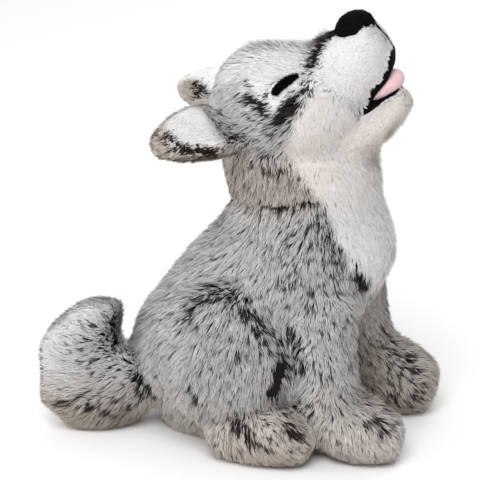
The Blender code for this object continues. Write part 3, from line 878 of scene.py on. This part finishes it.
PILE = pile_material()
DARK_GROUND = backing_material("dark_ground", (0.01, 0.008, 0.007), (0.026, 0.021, 0.019))
PALE_GROUND = backing_material("pale_ground", (0.6, 0.6, 0.6), (0.7, 0.7, 0.7))


def build_cover(name):
    """Stuffed cover of one solid, sunk under the outside to make room for the pile."""
    facts = COVERS[name]
    points, faces, edges = skin_of(name, facts["voxel"], COVER_ROUNDS)
    moved = points.copy()
    for i, p in enumerate(points.tolist()):
        spot, normal, _, _ = hide.tree.find_nearest(Vector(p))
        depth = (spot - Vector(p)).dot(normal)
        if depth < facts["inset"]:
            moved[i] = spot - normal * facts["inset"]
    moved = relaxed(moved, edges, COVER_ROUNDS)
    moved[:, 2] = np.maximum(moved[:, 2], COVER_LIFT)
    ground = PALE_GROUND if facts["tone"] > PALE_COVER else DARK_GROUND
    cover = smooth_object(name + "_cover", moved, faces, ground)
    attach(cover, "root")
    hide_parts(name)


for cover_name in COVERS:
    build_cover(cover_name)


# Pile
class Roots:
    """Where the fibres start, spread over the hide by area and density."""

    def __init__(self, count, rng):
        faces = hide.faces
        tris = np.concatenate([faces[:, [0, 1, 2]], faces[:, [0, 2, 3]]])
        a, b, c = (hide.points[tris[:, k]] for k in range(3))
        area = np.linalg.norm(np.cross(b - a, c - a), axis=1) / 2
        weight = area * hide.dense[tris].mean(axis=1)
        weight[(hide.dense[tris] == 0).any(axis=1)] = 0.0
        pick = rng.choice(len(tris), size=count, p=weight / weight.sum())
        pick.sort()
        u = rng.random((count, 2))
        over = u.sum(axis=1) > 1
        u[over] = 1 - u[over]
        self.corners = tris[pick]
        self.share = np.column_stack([1 - u.sum(axis=1), u])

    def get(self, field):
        """A field of the hide at each root."""
        if field.ndim == 1:
            return (field[self.corners] * self.share).sum(axis=1)
        return (field[self.corners] * self.share[:, :, None]).sum(axis=1)

    def owner(self):
        """Solid that each root belongs to."""
        return hide.owner[self.corners[:, 0]]


def settle(points):
    """Nearest points of the hide and the normals there."""
    spots = np.empty_like(points)
    normals = np.empty_like(points)
    nearest = hide.tree.find_nearest
    for i, p in enumerate(points.tolist()):
        spot, normal, _, _ = nearest(p)
        spots[i] = spot
        normals[i] = normal
    return spots, normals


# One lock for each square of this side on this area
CLUMP_SPACE = 0.0022
PILE_AREA = 0.13
# Factors by which fibres and locks differ, most of the pull and its part at the middle
LENGTH_SPREAD = (0.72, 1.12)
PROUD_SPREAD = (0.0, 1.6)
WIDTH_SPREAD = (0.8, 1.2)
LOCK_PULL = (0.4, 1.6)
OWN_PULL = (0.7, 1.3)
PULL_MOST = 0.9
PULL_MIDDLE = 0.5
# How far a fibre turns from the nap, and the tip of a fibre of this length strays
TURN_SPREAD = 0.16
TIP_SPREAD = 0.0009
TIP_LENGTH = 0.0125
# Dark locks, dark fur and painted shade between parted locks: share of dark fibres, all of them
# above this darkness, shorter and lower
DARK_PURE = 0.85
DARK_FULL = 0.9
DARK_SHORTER = 0.68
DARK_SINK = 0.0012
DARK_TONE = (0.0, 0.02)
DARK_PALER = 0.07
# A sunken place has shorter pile: by this share of it for each metre, up to this depth
SINK_SHORTER = 60
SINK_MOST = 0.01
# Root's depth, places of middle and end, middle's part of the inset, root's of the width
ROOT_DEPTH = 0.0003
MIDDLE_AT = 0.38
MIDDLE_DEPTH = 0.3
END_AT = 0.92
ROOT_WIDTH = 0.8
# Tone from which pile turns white, and how far tones differ
WHITE_FROM = 0.6
WHITE_OVER = 0.3
LOCK_TONES = 0.05
OWN_TONES = 0.1
WHITE_TONES = 0.15
TONE_ENDS = (0.02, 0.98)
# How far frosted and white blades roll out of the surface
ROLL = 0.55
ROLL_WHITE = 0.2


def clumps(points, dark, rng):
    """Lock that each fibre belongs to, and whether that lock is dark (dark fur and painted shade
    between locks).
    """
    count = len(points)
    order = rng.permutation(count)
    size = PILE_AREA / CLUMP_SPACE ** 2
    chosen = order[:int(size)]
    tree = KDTree(len(chosen))
    for i, k in enumerate(chosen.tolist()):
        tree.insert(points[k], i)
    tree.balance()
    lock = np.array([tree.find(p)[1] for p in points.tolist()])
    is_dark = rng.random(len(chosen)) < dark[chosen]
    return chosen, lock, is_dark


def clear_of_features(owner, middle, end):
    """Whether a fibre's middle, end and the point between are clear of the nose, the eyes and
    the line under the nose, and those of the jaw of the lips too."""
    kept = np.ones(len(middle), dtype=bool)
    jaw = owner == NAMES.index("lower_jaw")
    for tree, group in ((solid_tree(CLEAR_OF), kept.copy()), (solid_tree(["mouth_lining"]), jaw)):
        for rows in (middle, end, (middle + end) / 2):
            for i in np.flatnonzero(group & kept).tolist():
                if tree.find_nearest(rows[i], CLEAR_GAP)[0] is not None:
                    kept[i] = False
    return kept


def build_pile():
    """Every fibre of the animal, in one object for each cover."""
    rng = np.random.default_rng(SEED)
    roots = Roots(FIBRES, rng)
    points = roots.get(hide.points)
    normals = unit(roots.get(hide.normals))
    nap = hide.flat(roots.get(hide.nap), normals)
    length = roots.get(hide.length) * rng.uniform(*LENGTH_SPREAD, FIBRES)
    inset = roots.get(hide.inset)
    proud = roots.get(hide.proud) * rng.uniform(*PROUD_SPREAD, FIBRES)
    width = roots.get(hide.width) * rng.uniform(*WIDTH_SPREAD, FIBRES)
    tone = roots.get(hide.tone)
    warm = roots.get(hide.warm)
    darkness = roots.get(hide.dark)
    chosen, lock, lock_dark = clumps(points, darkness, rng)
    dark = lock_dark[lock] & (rng.random(FIBRES) < np.where(darkness > DARK_FULL, 1.0, DARK_PURE))
    turn = rng.normal(0.0, TURN_SPREAD, FIBRES)[:, None]
    nap = nap * np.cos(turn) + np.cross(normals, nap) * np.sin(turn)
    sink = roots.get(hide.sink)
    length = np.where(dark, length * DARK_SHORTER, length)
    length = length * (1 - SINK_SHORTER * np.minimum(sink, SINK_MOST))

    start = points - normals * (inset + ROOT_DEPTH)[:, None]
    proud = proud - sink - DARK_SINK * dark
    middle, middle_normals = settle(points + nap * (length * MIDDLE_AT)[:, None])
    middle = middle - middle_normals * (inset * MIDDLE_DEPTH + sink)[:, None]
    end, end_normals = settle(points + nap * (length * END_AT)[:, None])
    end = end + end_normals * proud[:, None]
    lock_pull = rng.uniform(*LOCK_PULL, len(chosen))[lock]
    pull = roots.get(hide.pull) * lock_pull * rng.uniform(*OWN_PULL, FIBRES)
    pull = np.clip(pull, 0.0, PULL_MOST)[:, None]
    end = end * (1 - pull) + end[chosen][lock] * pull
    end += rng.normal(0.0, 1.0, (FIBRES, 3)) * TIP_SPREAD * (length / TIP_LENGTH)[:, None]
    middle = middle * (1 - pull * PULL_MIDDLE) + middle[chosen][lock] * pull * PULL_MIDDLE

    owner = roots.owner()
    kept = clear_of_features(owner, middle, end)
    grey = 1 - held((tone - WHITE_FROM) / WHITE_OVER)
    differ = rng.normal(0.0, LOCK_TONES, len(chosen))[lock] + rng.normal(0.0, OWN_TONES, FIBRES)
    tone = tone + differ * (WHITE_TONES + (1 - WHITE_TONES) * grey)
    tone = np.clip(tone, *TONE_ENDS)
    tone = np.where(dark, rng.uniform(*DARK_TONE, FIBRES) + DARK_PALER * (1 - darkness), tone)
    warm = warm * WARM_STEPS + rng.uniform(-0.5, 0.5, FIBRES)
    warm = np.clip(np.round(warm), 0, WARM_STEPS) / WARM_STEPS

    across = unit(np.cross(unit(end - start), normals))
    roll = (rng.normal(0.0, 1.0, FIBRES) * (ROLL_WHITE + (ROLL - ROLL_WHITE) * grey))[:, None]
    across = unit(across * np.cos(roll) + normals * np.sin(roll))
    half = across * (width * 0.5)[:, None]
    low = half * ROOT_WIDTH
    rows = np.stack([start - low, start + low, middle - half, middle + half, end], axis=1)
    rows[:, :, 2] = np.maximum(rows[:, :, 2], FLOOR_LIFT)
    for index, name in enumerate(NAMES):
        here = np.flatnonzero((owner == index) & kept)
        if not len(here):
            continue
        parts = math.ceil(len(here) / MOST_FIBRES)
        if parts > 1:
            here = here[np.argsort(points[here, 1], kind="stable")]
        for number, group in enumerate(np.array_split(here, parts)):
            tail = "_pile" if parts == 1 else "_pile_%d" % (number + 1)
            fibre_object(name + tail, rows[group], normals[group],
                         tone[group], warm[group])


# A fibre has two points at the root, two at the middle and the end. Its faces' corners, each
# face's first one, each point's place along it, and each corner's place in the bake
BLADE_POINTS = 5
BLADE_CORNERS = np.array([0, 1, 3, 2, 2, 3, 4])
BLADE_FACES = np.array([0, 4])
BLADE_ALONG = np.array([0.0, 0.0, 0.5, 0.5, 1.0])
BAKE_ACROSS = np.array([-1, 1, 1, -1, -1, 1, 0]) * 0.001
BAKE_ALONG = np.array([0.01, 0.01, 0.5, 0.5, 0.5, 0.5, 0.99])
# Part of a warmth's column in the bake that its tones use
BAKE_TONES = 0.9
BAKE_EDGE = 0.05


def fibre_object(name, rows, normals, tone, warm, reach=1.0):
    """Object of fibres, each a bent blade of three triangles with its colours up to reach."""
    count = len(rows)
    number = np.arange(count)[:, None]
    mesh = bpy.data.meshes.new(name)
    mesh.vertices.add(count * BLADE_POINTS)
    mesh.vertices.foreach_set("co", rows.astype(np.float32).ravel())
    loops = number * BLADE_POINTS + BLADE_CORNERS
    mesh.loops.add(loops.size)
    mesh.loops.foreach_set("vertex_index", loops.astype(np.int32).ravel())
    starts = number * len(BLADE_CORNERS) + BLADE_FACES
    mesh.polygons.add(starts.size)
    mesh.polygons.foreach_set("loop_start", starts.astype(np.int32).ravel())
    mesh.update(calc_edges=True)
    along = np.tile(BLADE_ALONG * reach, count)
    tones, warms = np.repeat(tone, BLADE_POINTS), np.repeat(warm, BLADE_POINTS)
    for key, value in (("along", along), ("tone", tones), ("warm", warms)):
        data = mesh.attributes.new(key, "FLOAT", "POINT").data
        data.foreach_set("value", value.astype(np.float32))
    column = (warm * WARM_STEPS + tone * BAKE_TONES + BAKE_EDGE) / (WARM_STEPS + 1)
    u = column[:, None] + BAKE_ACROSS
    v = np.tile(BAKE_ALONG * reach, (count, 1))
    layer = mesh.uv_layers.new(name="OFBake")
    layer.data.foreach_set("uv", np.stack([u, v], axis=2).astype(np.float32).ravel())
    mesh.materials.append(PILE)
    mesh.normals_split_custom_set_from_vertices(np.repeat(normals, BLADE_POINTS, axis=0))
    pile = new_object(name, mesh)
    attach(pile, "root")


build_pile()


# Felt and velour features

# Felt: detail and ends of its grain, strength and height of its bumps
GRAIN_DETAIL = 4.0
GRAIN_ENDS = (0.3, 0.7)
GRAIN_BUMP = (0.5, 0.0003)


def velour(name, low, high, sheen, grain):
    """Short dense velour or felt with a fine grain."""
    material, tree, shader = fabric(name, 0.9, sheen)
    speck = tree.nodes.new("ShaderNodeTexNoise")
    put(speck, Detail=GRAIN_DETAIL)
    stops = list(zip(GRAIN_ENDS, (low, high)))
    grained(tree, shader, speck, "Fac", grain, stops, *GRAIN_BUMP)
    return material


BLACK = velour("black_velour", (0.0012, 0.0011, 0.0012), (0.0065, 0.006, 0.0065), 0.008, 1100.0)
EMBROIDERY = velour("black_thread", (0.0012, 0.0011, 0.0011), (0.006, 0.0055, 0.0055), 0.008,
                    1500.0)
PINK = velour("pink_felt", (0.58, 0.38, 0.4), (0.7, 0.5, 0.53), 0.08, 1200.0)


def soft_copy(name, material, slot, voxel, rounds, fill):
    """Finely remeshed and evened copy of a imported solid, standing for it."""
    points, faces, _ = skin_of(name, voxel, rounds)
    piece = smooth_object(name + "_felt", points, faces, material)
    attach(piece, "root")
    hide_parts(name)
    return piece


NAPPED_REACH = 0.8
NAP_SPREAD = (0.6, 1.3)
# A fibre of the nap, in its lengths: root's depth, middle and end out and sideways
NAP_DEPTH = 0.3
NAP_MIDDLE = (0.4, 0.15)
NAP_END = (0.75, 0.55)
NAP_NARROWER = 0.8


def napped(piece, count, length, width):
    """Very short black nap on a felt feature."""
    rng = np.random.default_rng(SEED)
    points, faces = arrays_of(piece.data)
    normals = point_normals(points, faces)
    pick = rng.integers(0, len(faces), count)
    share = rng.dirichlet(np.ones(faces.shape[1]), count)[:, :, None]
    root = (points[faces[pick]] * share).sum(axis=1)
    out = unit((normals[faces[pick]] * share).sum(axis=1))
    lean = unit(np.cross(out, rng.normal(0.0, 1.0, (count, 3))))
    half = np.cross(out, lean) * (width / 2)
    size = (length * rng.uniform(*NAP_SPREAD, count))[:, None]
    start = root - out * size * NAP_DEPTH
    middle = root + (out * NAP_MIDDLE[0] + lean * NAP_MIDDLE[1]) * size
    end = root + (out * NAP_END[0] + lean * NAP_END[1]) * size
    high = half * NAP_NARROWER
    rows = np.stack([start - half, start + half, middle - high, middle + high, end], axis=1)
    flat = np.zeros(count)
    fibre_object(piece.name.replace("_felt", "_nap"), rows, out, flat, flat,
                 NAPPED_REACH)


# Name, material, slot, size of the skin's faces, rounds that even it out, filling
FELT = [
    ("nose", BLACK, "black_velour", 0.001, 3, 0.9),
    ("tongue", PINK, "pink_felt", 0.0008, 4, 0.5),
    ("mouth_lining", BLACK, "black_velour", 0.0009, 2, None),
    ("philtrum", EMBROIDERY, "black_velour", 0.0005, 2, None),
    ("eye_right", EMBROIDERY, "black_velour", 0.0005, 2, None),
    ("eye_left", EMBROIDERY, "black_velour", 0.0005, 2, None),
]
# Fibres of the nap, their length and width
NAPS = {
    "nose": (4600, 0.0009, 0.00028),
    "eye_right": (1300, 0.0014, 0.00026),
    "eye_left": (1300, 0.0014, 0.00026),
}
for facts in FELT:
    felt_piece = soft_copy(*facts)
    if facts[0] in NAPS:
        napped(felt_piece, *NAPS[facts[0]])


# Floor, light and background
FLOOR_HALF = 3.0
FLOOR_GREY = (0.86, 0.86, 0.86, 1.0)
SURROUND = 0.6
WHITE = (1.0, 1.0, 1.0, 1.0)
# Name, place, width in metres, power in watts
LAMPS = [
    ("key", (0.1, -1.3, 1.6), 1.3, 30.0),
    ("fill", (-1.5, -0.9, 0.8), 1.2, 12.0),
    ("back", (0.3, 1.3, 1.2), 1.2, 9.0),
]


def build_floor():
    """Plain pale floor that keeps the shadow."""
    sides = [(-1, -1, 0), (1, -1, 0), (1, 1, 0), (-1, 1, 0)]
    mesh = new_mesh("floor", np.array(sides, float) * FLOOR_HALF, np.array([[0, 1, 2, 3]]))
    material, _, shader = fabric("floor", 1.0)
    put(shader, Base_Color=FLOOR_GREY, Specular_IOR_Level=0.0)
    mesh.materials.append(material)
    floor = new_object("floor", mesh)


def lamp(name, place, size, power):
    """Large soft lamp that looks at the animal."""
    data = bpy.data.lights.new(name, "AREA")
    data.shape = "DISK"
    data.size = size
    data.energy = power
    aim = (Vector(place) - CAM_TARGET).to_track_quat("Z", "Y").to_matrix().to_4x4()
    new_object(name, data).matrix_world = Matrix.Translation(place) @ aim


def build_world():
    """Soft grey-white surround that the camera sees as white."""
    world = bpy.data.worlds.new("surround")
    world.use_nodes = True
    tree = world.node_tree
    ground = tree.nodes["Background"]
    put(ground, Strength=SURROUND, Color=WHITE)
    seen = tree.nodes.new("ShaderNodeBackground")
    put(seen, Color=WHITE)
    path = tree.nodes.new("ShaderNodeLightPath")
    shown = path.outputs["Is Camera Ray"]
    for output in ("Is Glossy Ray", "Is Transmission Ray"):
        both = tree.nodes.new("ShaderNodeMath")
        both.operation = "MAXIMUM"
        tree.links.new(shown, both.inputs[0])
        tree.links.new(path.outputs[output], both.inputs[1])
        shown = both.outputs["Value"]
    mix = tree.nodes.new("ShaderNodeMixShader")
    tree.links.new(shown, mix.inputs["Fac"])
    tree.links.new(ground.outputs["Background"], mix.inputs[1])
    tree.links.new(seen.outputs["Background"], mix.inputs[2])
    tree.links.new(mix.outputs["Shader"], tree.nodes["World Output"].inputs["Surface"])
    bpy.context.scene.world = world


build_camera()
build_floor()
build_world()
for facts in LAMPS:
    lamp(*facts)
bpy.context.scene.view_settings.view_transform = "Standard"
